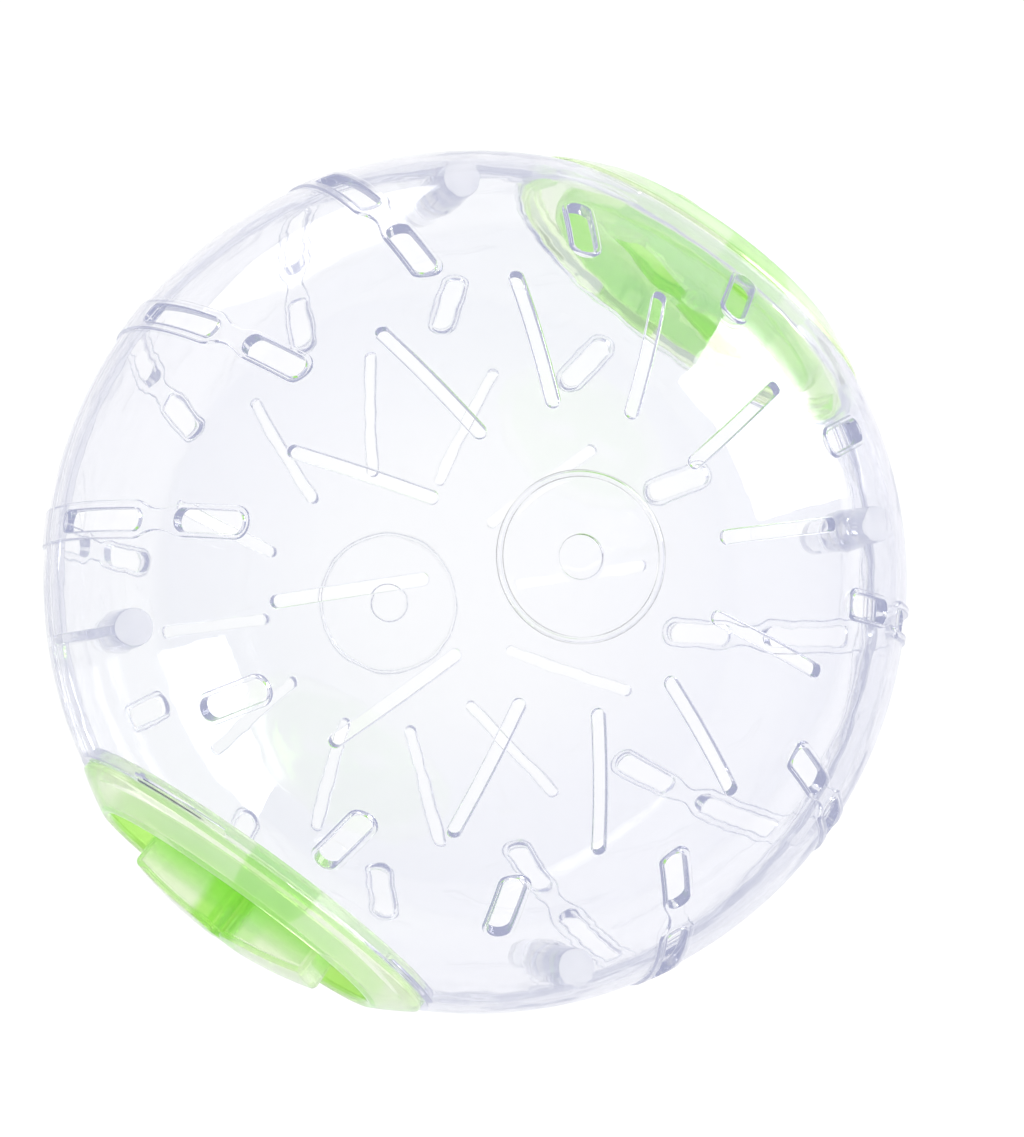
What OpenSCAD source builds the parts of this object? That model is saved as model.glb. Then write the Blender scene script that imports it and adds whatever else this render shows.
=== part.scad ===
// Clear exercise ball for a small pet, 200 mm across.
// Two clear half shells meet on the plane z = 0, and two green lids close
// round ports at +X and -X. The origin is the centre of the ball and +Z is
// the pole axis, through the flat discs that the ball can stand on.
// Angles called polar are measured from the +Z pole, azimuths from +X.
// Millimetres.

/* [Ball] */
// Outside diameter of the ball
ball_d = 200; // [196:1:206]
// Wall thickness of the half shells
wall = 2; // [1.8:0.1:2.2]
// Radius of the flat disc at each pole
pole_r = 18.4; // [17:0.2:20]
// Radius of the moulding gate recess in the pole disc
gate_r = 4.8; // [4:0.2:6]
// Depth of the moulding gate recess
gate_depth = 0.6; // [0.4:0.1:0.8]

/* [Air slots] */
// Number of long slots round each pole
long_n = 12; // [6:1:14]
// Polar angle where a long slot starts
long_p0 = 19; // [18:0.5:22]
// Polar angle where a long slot ends
long_p1 = 39.4; // [36:0.2:40]
// Width of a long slot
long_w = 2.8; // [2:0.2:3.4]
// Polar angle where a short slot starts
short_p0 = 43; // [42.6:0.2:44]
// Polar angle where a short slot ends
short_p1 = 53.7; // [52:0.1:54]
// Width of a short slot
short_w = 5.1; // [4.4:0.1:5.6]
// Polar angle where the outer slot of a pair starts
outer_p0 = 60.3; // [60:0.1:62]
// Polar angle where the outer slot of a pair ends
outer_p1 = 80.5; // [78:0.5:82]
// Width of the outer slot of a pair
outer_w = 4.8; // [4.4:0.1:5.2]

/* [Raised pads round the slots] */
// Height of the pads above the ball
pad_h = 0.6; // [0.4:0.1:0.8]
// Width of the pad round a short slot
pad_w = 7.4; // [7:0.1:7.8]
// Width of the neck between the two slots of a pair
neck_w = 4.7; // [4:0.1:5.4]
// Width of the pad round the outer slot of a pair
outer_pad_w = 8.6; // [8:0.1:9.2]

/* [Seam] */
// How far the rim inside the seam stands in from the wall
rim_t = 2.2; // [1.6:0.1:2.6]
// Height of the rim on each half
rim_h = 3.6; // [3:0.1:4.5]
// Height of the tongue on the lower half
tongue_h = 1.5; // [1.2:0.1:1.8]

/* [Seam posts] */
// Height of each half of a post from the seam
post_h = 24; // [20:1:26]
// Diameter of a post at the seam
post_d0 = 10.2; // [9.4:0.2:11]
// Diameter of a post at its far end
post_d1 = 8.4; // [8:0.2:9.2]
// Diameter of the pin on the upper posts
pin_d = 4.4; // [4:0.1:4.8]
// Length of the pin on the upper posts
pin_l = 9; // [6:1:12]
// Thickness of the rib between a post and the wall
rib_t = 2.2; // [1.6:0.2:2.6]

/* [Ports] */
// Clear radius of a port inside its collar
port_r = 46.2; // [45.8:0.1:46.6]
// Depth of the collar
collar_h = 4; // [3.6:0.1:4.6]
// Radial thickness of the collar
collar_t = 1.7; // [1.5:0.1:2]
// Distance of the port rim from the middle of the ball
rim_x = 87.2; // [86.6:0.1:87.6]
// Angle that each catch slot in the collar covers
catch_a = 32; // [24:1:36]

/* [Lids] */
// Thickness of the lid's walls
lid_t = 1.6; // [1.4:0.1:1.8]
// Radius of the lid's flange
flange_r = 47.3; // [46.9:0.1:47.7]
// Gap between the flange and the port rim
seat_gap = 0.3; // [0.3:0.1:0.5]
// Radial gap between the lid's skirt and the collar
skirt_gap = 0.4; // [0.3:0.05:0.5]
// Radius of the domed face
dome_r = 84; // [80:1:92]
// Radius of the finger recess
cup_r = 36; // [34:0.5:37]
// Distance of the recess floor from the middle of the ball
floor_x = 85.6; // [85:0.2:87]
// Length of the grip
grip_l = 49; // [44:1:54]
// Width of the grip's two lobes
grip_w = 15; // [13:0.5:17]
// Width of the web between the lobes
web_w = 5; // [4:0.5:6]
// Radius of the ball-shaped surface that the grip's top follows
grip_top = 102; // [101:0.5:103]
// Turn of the grip from the seam
grip_turn = 30; // [0:5:60]

/* [Hidden] */
$fn = 96;
eps = 0.01;
clear_c = [0.86, 0.88, 0.94, 0.45];
lid_c = [0.62, 0.88, 0.42, 0.9];
R = ball_d / 2;
Ri = R - wall;
pole_z = sqrt(R * R - pole_r * pole_r);
// Azimuths of the six short slots and of the six slot pairs
short_az = [-30, 0, 30, 150, 180, 210];
pair_az = [60, 90, 120, 240, 270, 300];
// Axis radius and azimuth of each seam post; the uneven places let the
// halves meet in only one way
posts = [[84, -45], [90, 48], [92, 135], [91, 222]];
catch_mid = [-39, 51, 141, 231];
lug_mid = [-2, 88, 178, 268];
lug_a = 19;

// A strip with round ends, centred, along X
module stadium(l, w) {
    square([l - w, w], center = true);
    for (s = [-1, 1]) translate([s * (l - w) / 2, 0]) circle(d = w);
}

// A radial prism of the strip between two polar angles
module strip_cut(az, p0, p1, w, grow = 0) {
    l = 2 * R * sin((p1 - p0) / 2);
    rotate([0, 0, az]) rotate([0, (p0 + p1) / 2, 0])
        translate([0, 0, R - 12]) linear_extrude(20) stadium(l + 2 * grow, w + 2 * grow);
}

// Outline of the pad round a pair of slots, widths blended at the neck
pair_mid = 64;
function pair_s(p) = R * sin(p - pair_mid);
function ease(t) = (1 - cos(180 * t)) / 2;
function blend_pts(s0, h0, s1, h1, n) =
    [for (i = [0:n]) [s0 + (s1 - s0) * i / n, h0 + (h1 - h0) * ease(i / n)]];
neck_side = concat(
    blend_pts(pair_s(52), pad_w / 2, pair_s(56.6), neck_w / 2, 6),
    blend_pts(pair_s(57), neck_w / 2, pair_s(61.6), outer_pad_w / 2, 6));
module pair_outline() {
    s0 = pair_s(short_p0 - 1);
    translate([s0 + pad_w / 2, 0]) circle(d = pad_w);
    translate([s0 + pad_w / 2, -pad_w / 2]) square([pair_s(52) - s0 - pad_w / 2, pad_w]);
    polygon(concat(neck_side, [for (i = [len(neck_side) - 1:-1:0]) [neck_side[i][0], -neck_side[i][1]]]));
    translate([pair_s(61.6) - eps, -outer_pad_w / 2]) square([60, outer_pad_w]);
}

module pads() {
    intersection() {
        difference() {
            sphere(r = R + pad_h);
            sphere(r = R - wall / 2);
        }
        union() {
            for (a = short_az) strip_cut(a, short_p0, short_p1, short_w, (pad_w - short_w) / 2);
            for (a = pair_az) rotate([0, 0, a]) rotate([0, pair_mid, 0])
                translate([0, 0, R * 0.5]) linear_extrude(R) pair_outline();
        }
    }
}

module slots() {
    for (i = [0:long_n - 1]) strip_cut(-45 + i * 360 / long_n, long_p0, long_p1, long_w);
    for (a = short_az) strip_cut(a, short_p0, short_p1, short_w);
    for (a = pair_az) {
        strip_cut(a, short_p0, short_p1, short_w);
        strip_cut(a, outer_p0, outer_p1, outer_w);
    }
}

// Rim that stiffens the seam on the inside
module seam_rim() {
    intersection() {
        difference() {
            cylinder(r = R, h = rim_h);
            translate([0, 0, -eps]) cylinder(r = Ri - rim_t, h = rim_h + 2 * eps);
        }
        sphere(r = R - wall / 2);
    }
}

// Half of a seam post, standing up from the seam on a rib to the wall
module half_post(pr, az) {
    rotate([0, 0, az]) translate([pr, 0, 0]) cylinder(d1 = post_d0, d2 = post_d1, h = post_h);
    rotate([0, 0, az]) translate([0, rib_t / 2, 0]) rotate([90, 0, 0]) linear_extrude(rib_t)
        polygon([[pr, 0], [R, 0], [R, 9], [pr + post_d1 / 2 - 0.5, post_h - 0.6], [pr, post_h - 0.6]]);
}

// One half ball without the parts at the seam, open end down
module half_body(hole) {
    difference() {
        union() {
            difference() {
                union() {
                    sphere(r = R);
                    pads();
                }
                sphere(r = Ri);
            }
            // solid disc so that the wall stays even behind the flat pole
            intersection() {
                translate([0, 0, pole_z - wall]) cylinder(r = pole_r + 2, h = wall + 1);
                sphere(r = R - wall / 4);
            }
            seam_rim();
            intersection() {
                union() for (p = posts) half_post(p[0], p[1]);
                sphere(r = R - wall / 2);
            }
            // port collars
            for (s = [0, 180]) rotate([0, 0, s]) rotate([0, 90, 0])
                translate([0, 0, rim_x - collar_h]) cylinder(r = port_r + collar_t, h = collar_h);
        }
        // keep the half above the seam
        translate([0, 0, -2 * R]) cylinder(r = 2 * R, h = 2 * R);
        // flat pole disc and its gate recess
        translate([0, 0, pole_z]) cylinder(r = R, h = R);
        translate([0, 0, pole_z - gate_depth]) cylinder(r = gate_r, h = R);
        slots();
        // ports
        for (s = [0, 180]) rotate([0, 0, s]) rotate([0, 90, 0]) {
            translate([0, 0, R / 2]) cylinder(r = port_r, h = R);
            translate([0, 0, rim_x]) cylinder(r = R, h = R);
            for (c = catch_mid) catch_slot(hole * c);
        }
    }
}

// Catch slot through the collar, at an angle from the top of the port
module catch_slot(c) {
    translate([0, 0, rim_x - collar_h + 0.9]) linear_extrude(1.5)
        polygon([for (t = [[44, -0.5], [49.2, -0.5], [49.6, 0], [49.2, 0.5], [44, 0.5]])
            [-t[0] * cos(c + t[1] * catch_a), t[0] * sin(c + t[1] * catch_a)]]);
}

module upper_half_shell() {
    color(clear_c) {
        difference() {
            half_body(1);
            // groove for the tongue
            intersection() {
                difference() {
                    translate([0, 0, -eps]) cylinder(r = Ri + 0.45, h = tongue_h + 0.2);
                    translate([0, 0, -1]) cylinder(r = Ri - 1.25, h = tongue_h + 3);
                }
            }
        }
        for (p = posts) rotate([0, 0, p[1]]) translate([p[0], 0, -pin_l]) cylinder(d = pin_d, h = pin_l + 1);
    }
}

module lower_half_shell() {
    color(clear_c) {
        difference() {
            mirror([0, 0, 1]) half_body(-1);
            for (p = posts) rotate([0, 0, p[1]]) translate([p[0], 0, -pin_l - 1]) cylinder(d = pin_d + 0.1, h = pin_l + 2);
        }
        // tongue
        difference() {
            translate([0, 0, -1]) cylinder(r = Ri + 0.35, h = tongue_h + 1);
            translate([0, 0, -2]) cylinder(r = Ri - 1.15, h = tongue_h + 3);
            for (s = [0, 180]) rotate([0, 0, s]) rotate([0, 90, 0])
                translate([0, 0, R / 2]) cylinder(r = port_r + collar_t + 0.4, h = R);
        }
    }
}

// Plan of the grip: two lobes with round inner corners on a narrow web
module grip_plan(d) {
    l = grip_l - 2 * d;
    w = grip_w - 2 * d;
    r = 5 - d;
    square([l - 2, web_w - 2 * d], center = true);
    for (s = [-1, 1]) {
        translate([s * (l / 2 - 1), 0]) for (t = [-1, 1]) translate([0, t * (w / 2 - 1)]) circle(r = 1);
        translate([s > 0 ? l / 2 - 1 : -l / 2, -w / 2 + 1]) square([1, w - 2]);
        translate([s > 0 ? 1.2 + d + r : -l / 2 + 1, -w / 2]) square([l / 2 - 1 - (1.2 + d + r), w]);
        translate([s > 0 ? 1.2 + d : -(1.2 + d + r), -w / 2 + r]) square([r, w - 2 * r]);
        for (t = [-1, 1]) translate([s * (1.2 + d + r), t * (w / 2 - r)]) circle(r = r);
    }
}

// A lid about the Z axis, which is the port axis, with the ball's middle at 0
module lid() {
    dome_c = rim_x + seat_gap + 1.2 - sqrt(dome_r * dome_r - flange_r * flange_r);
    seat = rim_x + seat_gap;
    skirt_r = port_r - skirt_gap;
    in_z = rim_x - collar_h + 0.4;
    color(lid_c) {
        difference() {
            intersection() {
                union() {
                    // dome skin, flat underneath where it sits over the rim
                    difference() {
                        translate([0, 0, seat]) cylinder(r = flange_r, h = R + 20);
                        translate([0, 0, dome_c]) sphere(r = dome_r - lid_t);
                    }
                    // flange edge
                    translate([0, 0, seat]) difference() {
                        cylinder(r = flange_r, h = lid_t);
                        translate([0, 0, -1]) cylinder(r = skirt_r - lid_t, h = lid_t + 2);
                    }
                    // skirt with a thick lug in each quarter
                    translate([0, 0, in_z]) difference() {
                        cylinder(r = skirt_r, h = R / 4);
                        translate([0, 0, -1]) cylinder(r = skirt_r - lid_t, h = R / 4 + 2);
                    }
                    intersection() {
                        translate([0, 0, in_z + 0.4]) difference() {
                            cylinder(r = skirt_r - 0.2, h = R / 4);
                            translate([0, 0, -1]) cylinder(r = skirt_r - 3.4, h = R / 4 + 2);
                        }
                        union() for (a = lug_mid) linear_extrude(R + 20)
                            polygon([[0, 0], for (t = [-0.5, 0, 0.5]) [-60 * cos(a + t * lug_a), 60 * sin(a + t * lug_a)]]);
                    }
                    // wall and floor of the finger recess
                    translate([0, 0, floor_x - lid_t]) cylinder(r = cup_r + lid_t, h = R / 4);
                }
                union() {
                    translate([0, 0, dome_c]) sphere(r = dome_r);
                    cylinder(r = skirt_r, h = rim_x);
                }
            }
            translate([0, 0, floor_x]) cylinder(r = cup_r, h = R);
            rotate([0, 0, 90 + grip_turn]) translate([0, 0, floor_x - lid_t - 1]) linear_extrude(lid_t + 2)
                grip_plan(lid_t);
        }
        // hollow grip, open to the inside of the ball
        rotate([0, 0, 90 + grip_turn]) difference() {
            intersection() {
                translate([0, 0, floor_x - lid_t]) linear_extrude(R / 4) grip_plan(0);
                sphere(r = grip_top);
            }
            intersection() {
                translate([0, 0, floor_x - lid_t - 1]) linear_extrude(R / 4) grip_plan(lid_t);
                sphere(r = grip_top - lid_t);
            }
        }
    }
}

module right_lid() { rotate([0, 90, 0]) lid(); }
module left_lid() { rotate([0, 0, 180]) rotate([0, 90, 0]) lid(); }

upper_half_shell();
lower_half_shell();
right_lid();
left_lid();
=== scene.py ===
import math

import bmesh
import bpy
import numpy as np
from mathutils import Matrix, Vector


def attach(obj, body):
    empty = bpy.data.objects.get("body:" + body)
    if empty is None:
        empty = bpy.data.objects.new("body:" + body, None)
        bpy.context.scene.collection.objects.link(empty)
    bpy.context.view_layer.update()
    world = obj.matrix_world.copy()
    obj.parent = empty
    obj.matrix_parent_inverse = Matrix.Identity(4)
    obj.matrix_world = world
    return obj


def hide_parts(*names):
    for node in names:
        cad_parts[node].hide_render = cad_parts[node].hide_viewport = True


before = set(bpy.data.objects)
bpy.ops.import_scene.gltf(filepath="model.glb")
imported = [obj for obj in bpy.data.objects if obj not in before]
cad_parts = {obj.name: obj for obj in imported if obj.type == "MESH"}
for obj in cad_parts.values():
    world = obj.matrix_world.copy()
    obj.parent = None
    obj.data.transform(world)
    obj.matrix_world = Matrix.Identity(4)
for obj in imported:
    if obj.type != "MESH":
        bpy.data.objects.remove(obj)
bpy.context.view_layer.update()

MM = 0.001
R = 100.0
RI = 98.0
PAD = 0.6
POLE_R = 18.4
POLE_Z = math.sqrt(R * R - POLE_R * POLE_R)
GATE_R = 4.8
GATE_DEPTH = 0.6
INNER_POLE_R = 17.4
GAP = 0.03
SHORT_AZ = [-30, 0, 30, 150, 180, 210]
PAIR_AZ = [60, 90, 120, 240, 270, 300]
POSTS = [(84.0, -45), (90.0, 48), (92.0, 135), (91.0, 222)]
PORT_R = 46.2
RIM_X = 87.2
SEAT_X = 87.5
DOME_R = 84.0
FLANGE_R = 47.3
DOME_X = SEAT_X + 1.2 - math.sqrt(DOME_R**2 - FLANGE_R**2)
SKIRT_R = 45.8
CUP_R = 36.0
FLOOR_X = 85.6
LID_T = 1.6
GRIP_TURN = 30.0
GRIP_TOP = 102.0


# ---------------------------------------------------------------- mesh kit
def make(name, verts, faces):
    """An object from points in millimetres, its faces turned outwards."""
    me = bpy.data.meshes.new(name)
    me.from_pydata([tuple(v) for v in np.asarray(verts, float) * MM], [], faces)
    bm = bmesh.new()
    bm.from_mesh(me)
    bmesh.ops.remove_doubles(bm, verts=bm.verts, dist=1e-9)
    bmesh.ops.recalc_face_normals(bm, faces=bm.faces)
    bm.to_mesh(me)
    bm.free()
    ob = bpy.data.objects.new(name, me)
    bpy.context.scene.collection.objects.link(ob)
    return ob


def joined(name, parts):
    """Closed meshes that don't touch, as one object."""
    bm = bmesh.new()
    for p in parts:
        bm.from_mesh(p.data)
    me = bpy.data.meshes.new(name)
    bm.to_mesh(me)
    bm.free()
    for p in parts:
        old = p.data
        bpy.data.objects.remove(p)
        bpy.data.meshes.remove(old)
    ob = bpy.data.objects.new(name, me)
    bpy.context.scene.collection.objects.link(ob)
    return ob


def volume(ob):
    bm = bmesh.new()
    bm.from_mesh(ob.data)
    v = bm.calc_volume(signed=True)
    bm.free()
    return v * 1e9


def boolean(ob, tool, op, keep=False):
    """ob with tool joined on or cut away."""
    mod = ob.modifiers.new("b", "BOOLEAN")
    mod.operation = op
    mod.solver = "MANIFOLD"
    mod.object = tool
    dg = bpy.context.evaluated_depsgraph_get()
    me = bpy.data.meshes.new_from_object(ob.evaluated_get(dg))
    before = volume(ob)
    old = ob.data
    ob.modifiers.clear()
    ob.data = me
    bpy.data.meshes.remove(old)
    after = volume(ob)
    print(f"{op:10s} {tool.name:16s} {before:10.0f} -> {after:10.0f} mm3, {len(me.polygons)} faces")
    if abs(after - before) < 1e-3:
        raise RuntimeError(f"{tool.name} changed nothing")
    if not keep:
        old = tool.data
        bpy.data.objects.remove(tool)
        bpy.data.meshes.remove(old)
    return ob


def lathe(name, profile, n=256, axis="z", start=0.0, sweep=360.0):
    """A profile of (radius, height) turned about an axis; height runs along it."""
    full = sweep >= 360.0
    steps = n if full else n + 1
    ang = np.radians(start + sweep * np.arange(steps) / n)
    verts, cols = [], []
    for r, h in profile:
        if r < 1e-9:
            cols.append([len(verts)] * steps)
            verts.append((0.0, 0.0, h))
        else:
            cols.append(list(range(len(verts), len(verts) + steps)))
            verts += [(r * math.cos(a), r * math.sin(a), h) for a in ang]
    on_axis = profile[0][0] < 1e-9 and profile[-1][0] < 1e-9
    m = len(profile)
    pairs = [(k, k + 1) for k in range(m - 1)] + ([] if on_axis else [(m - 1, 0)])
    faces = []
    for a, b in pairs:
        for i in range(n):
            j = (i + 1) % steps
            q = [cols[a][i], cols[a][j], cols[b][j], cols[b][i]]
            q = list(dict.fromkeys(q))
            if len(q) > 2:
                faces.append(q)
    if not full:
        faces.append([c[0] for c in cols])
        faces.append([c[-1] for c in cols][::-1])
    v = np.array(verts)
    if axis == "x":
        v = v[:, [2, 0, 1]]
    return make(name, v, faces)


def mirrored(v, sign):
    """Points about the +X port, turned half a turn about Z for the -X port."""
    v = np.array(v, float)
    if sign < 0:
        v[:, :2] *= -1
    return v


def arc(cx, cy, r, a0, a1, n):
    return [(cx + r * math.cos(math.radians(a0 + (a1 - a0) * i / n)), cy + r * math.sin(math.radians(a0 + (a1 - a0) * i / n))) for i in range(n + 1)]


# -------------------------------------------------- strips laid on the ball
def side_points(s, hw):
    """Closed outline (s, t) from the half widths along s: out along +t, back along -t."""
    up = [(a, b) for a, b in zip(s, hw)]
    return np.array(up + [(a, -b) for a, b in up[-2:0:-1]])


def stadium(l, w, step=2.0, n=14):
    """Outline of a strip with round ends."""
    r = w / 2
    e = l / 2 - r
    up = [(-e - r * math.cos(math.radians(90 * i / n)), r * math.sin(math.radians(90 * i / n))) for i in range(n)]
    k = max(2, int(round(2 * e / step)))
    up += [(-e + 2 * e * i / k, r) for i in range(k + 1)]
    up += [(e + r * math.sin(math.radians(90 * i / n)), r * math.cos(math.radians(90 * i / n))) for i in range(1, n + 1)]
    up[0] = (-e - r, 0.0)
    up[-1] = (e + r, 0.0)
    return np.array(up + [(a, -b) for a, b in up[-2:0:-1]])


def grown(outline, g):
    """The outline moved outwards by g, with mitred corners."""
    p = outline
    e = np.roll(p, -1, 0) - p
    e /= np.linalg.norm(e, axis=1)[:, None]
    n = np.stack([e[:, 1], -e[:, 0]], 1)
    area = np.sum(p[:, 0] * np.roll(p[:, 1], -1) - np.roll(p[:, 0], -1) * p[:, 1])
    if area < 0:
        n = -n
    a = n + np.roll(n, 1, 0)
    a /= np.maximum(np.sum(a * a, 1) / 2, 0.4)[:, None]
    return p + a * g


def towards_middle(outline, k, end):
    """The outline drawn in towards its middle line, k from 1 to nearly 0."""
    lo, hi = outline[:, 0].min() + end, outline[:, 0].max() - end
    mid = np.stack([np.clip(outline[:, 0], lo, hi), np.zeros(len(outline))], 1)
    return mid + (outline - mid) * k


def strip_caps(n, base):
    m = n // 2
    faces = [[base, base + 1, base + n - 1]]
    faces += [[base + i, base + i + 1, base + n - i - 1, base + n - i] for i in range(1, m - 1)]
    faces.append([base + m - 1, base + m, base + m + 1])
    return faces


def loft(name, rings):
    """Rings of points with a mirrored outline, joined and closed at both ends."""
    n = len(rings[0])
    verts = np.concatenate(rings)
    faces = []
    for k in range(len(rings) - 1):
        for i in range(n):
            j = (i + 1) % n
            faces.append([k * n + i, k * n + j, (k + 1) * n + j, (k + 1) * n + i])
    faces += strip_caps(n, 0) + strip_caps(n, (len(rings) - 1) * n)
    return make(name, verts, faces)


def on_ball(az, polar, st, h):
    """Points (s, t) laid on the ball round a direction, h above its surface."""
    a, b = st[:, 0] / R, st[:, 1] / R
    v = np.stack([np.sin(a) * np.cos(b), np.sin(b), np.cos(a) * np.cos(b)], 1)
    m = np.array(Matrix.Rotation(math.radians(az), 3, "Z") @ Matrix.Rotation(math.radians(polar), 3, "Y"))
    return (v @ m.T) * (R + h)


def edge_levels(top, fillet, n=4, stop=72.0):
    """(height, growth) pairs of a cutter that leaves a rounded edge at height top."""
    out = []
    for i in range(n + 1):
        a = math.radians(stop * i / n)
        out.append((top - fillet + fillet * math.sin(a), fillet * (1 - math.cos(a))))
    a = math.radians(stop)
    out.append((out[-1][0] + 0.55 * math.cos(a), out[-1][1] + 0.55 * math.sin(a)))
    return out


def slot_cutter(az, p0, p1, w, top=0.0, fillet=0.32):
    out = stadium(R * math.radians(p1 - p0), w)
    upper = edge_levels(top, fillet)
    lower = [(-(R - RI) - h, g) for h, g in edge_levels(0.0, fillet)]
    levels = upper[::-1] + lower
    return loft("slot", [on_ball(az, (p0 + p1) / 2, grown(out, g), h) for h, g in levels])


def pad(az, polar, outline, end):
    edge = 0.45
    rings = [(1e-9, -1.0)]
    rings = [on_ball(az, polar, towards_middle(outline, k, end), -1.0) for k in (0.04, 0.4, 0.8)]
    rings += [on_ball(az, polar, outline, h) for h in (-1.0, -0.4, 0.0)]
    for i in range(1, 6):
        a = math.radians(90 * i / 5)
        rings.append(on_ball(az, polar, grown(outline, -edge * (1 - math.cos(a))), PAD * math.sin(a)))
    inner = grown(outline, -edge)
    rings += [on_ball(az, polar, towards_middle(inner, k, end - edge), PAD) for k in (0.8, 0.55, 0.3, 0.04)]
    return loft("pad", rings)


def ease(t):
    return (1 - math.cos(math.pi * t)) / 2


def pair_pad(az):
    """Pad round a pair of slots: a round lobe, a neck and a long lobe that runs to the seam."""
    mid = 64.0
    s_of = lambda p: R * math.radians(p - mid)
    s0, hw0 = s_of(42.0), 3.7
    s, hw = [], []
    for i in range(15):
        a = math.radians(90 * i / 14)
        s.append(s0 + hw0 * (1 - math.cos(a)))
        hw.append(hw0 * math.sin(a))
    for p in np.linspace(45.5, 52.0, 5):
        s.append(s_of(p)), hw.append(hw0)
    for i in range(1, 9):
        s.append(s_of(52.0 + 4.6 * i / 8)), hw.append(hw0 + (2.35 - hw0) * ease(i / 8))
    for i in range(1, 9):
        s.append(s_of(57.0 + 4.6 * i / 8)), hw.append(2.35 + (4.3 - 2.35) * ease(i / 8))
    for p in np.linspace(63.0, 91.2, 16):
        s.append(s_of(p)), hw.append(4.3)
    for i in range(1, 9):
        a = math.radians(90 * i / 8)
        s.append(s_of(91.2) + 4.3 * math.sin(a))
        hw.append(4.3 * math.cos(a))
    hw[0] = hw[-1] = 0.0
    return pad(az, mid, side_points(s, hw), 2.3)


# ------------------------------------------------------------ one half shell
def seam_profile():
    """Closed profile of the half shell: outside, pole disc, inside, seam rim."""
    pts = [(R - 0.16, 0.0), (R - 0.05, 0.05)]
    a_end = math.degrees(math.asin(POLE_R / R))
    for a in np.linspace(89.9, a_end + 0.12, 94):
        pts.append((R * math.sin(math.radians(a)), R * math.cos(math.radians(a))))
    pts += [(POLE_R - 0.02, POLE_Z - 0.015), (POLE_R - 0.1, POLE_Z)]
    # a fine groove just inside the edge of the flat disc
    g0, g1, gd = POLE_R - 0.2, POLE_R - 1.15, 0.22
    pts += [(g0, POLE_Z), (g0 - 0.05, POLE_Z - 0.02), (g0 - 0.1, POLE_Z - 0.08), (g0 - 0.16, POLE_Z - gd + 0.06), (g0 - 0.22, POLE_Z - gd + 0.01), (g0 - 0.3, POLE_Z - gd)]
    pts += [(g1 + 0.3, POLE_Z - gd), (g1 + 0.22, POLE_Z - gd + 0.01), (g1 + 0.16, POLE_Z - gd + 0.06), (g1 + 0.1, POLE_Z - 0.08), (g1 + 0.05, POLE_Z - 0.02), (g1, POLE_Z)]
    pts += [(r, POLE_Z) for r in np.linspace(g1 - 1.0, GATE_R + 0.8, 8)]
    pts += [(GATE_R + 0.25, POLE_Z), (GATE_R + 0.1, POLE_Z - 0.04), (GATE_R + 0.02, POLE_Z - 0.14)]
    pts += [(GATE_R - 0.02, POLE_Z - GATE_DEPTH + 0.14), (GATE_R - 0.12, POLE_Z - GATE_DEPTH + 0.03), (GATE_R - 0.3, POLE_Z - GATE_DEPTH)]
    pts += [(2.4, POLE_Z - GATE_DEPTH), (0.0, POLE_Z - GATE_DEPTH)]
    zi = math.sqrt(RI * RI - INNER_POLE_R**2)
    pts += [(0.0, zi)] + [(r, zi) for r in np.linspace(2.5, INNER_POLE_R - 0.25, 8)] + [(INNER_POLE_R - 0.05, zi - 0.02)]
    a_in = math.degrees(math.asin(INNER_POLE_R / RI))
    z_rim = 3.6
    a_rim = math.degrees(math.acos((z_rim + 0.5) / RI))
    for a in np.linspace(a_in + 0.1, a_rim, 84):
        pts.append((RI * math.sin(math.radians(a)), RI * math.cos(math.radians(a))))
    r_w = RI * math.sin(math.radians(a_rim))
    pts += [(r_w - 0.07, z_rim + 0.18), (r_w - 0.25, z_rim + 0.03), (r_w - 0.5, z_rim)]
    pts += [(96.25, z_rim), (96.0, z_rim - 0.06), (95.86, z_rim - 0.2), (95.8, z_rim - 0.45)]
    pts += [(95.8, 1.8), (95.8, 0.25), (95.87, 0.07), (96.02, 0.0)]
    return pts


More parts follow.
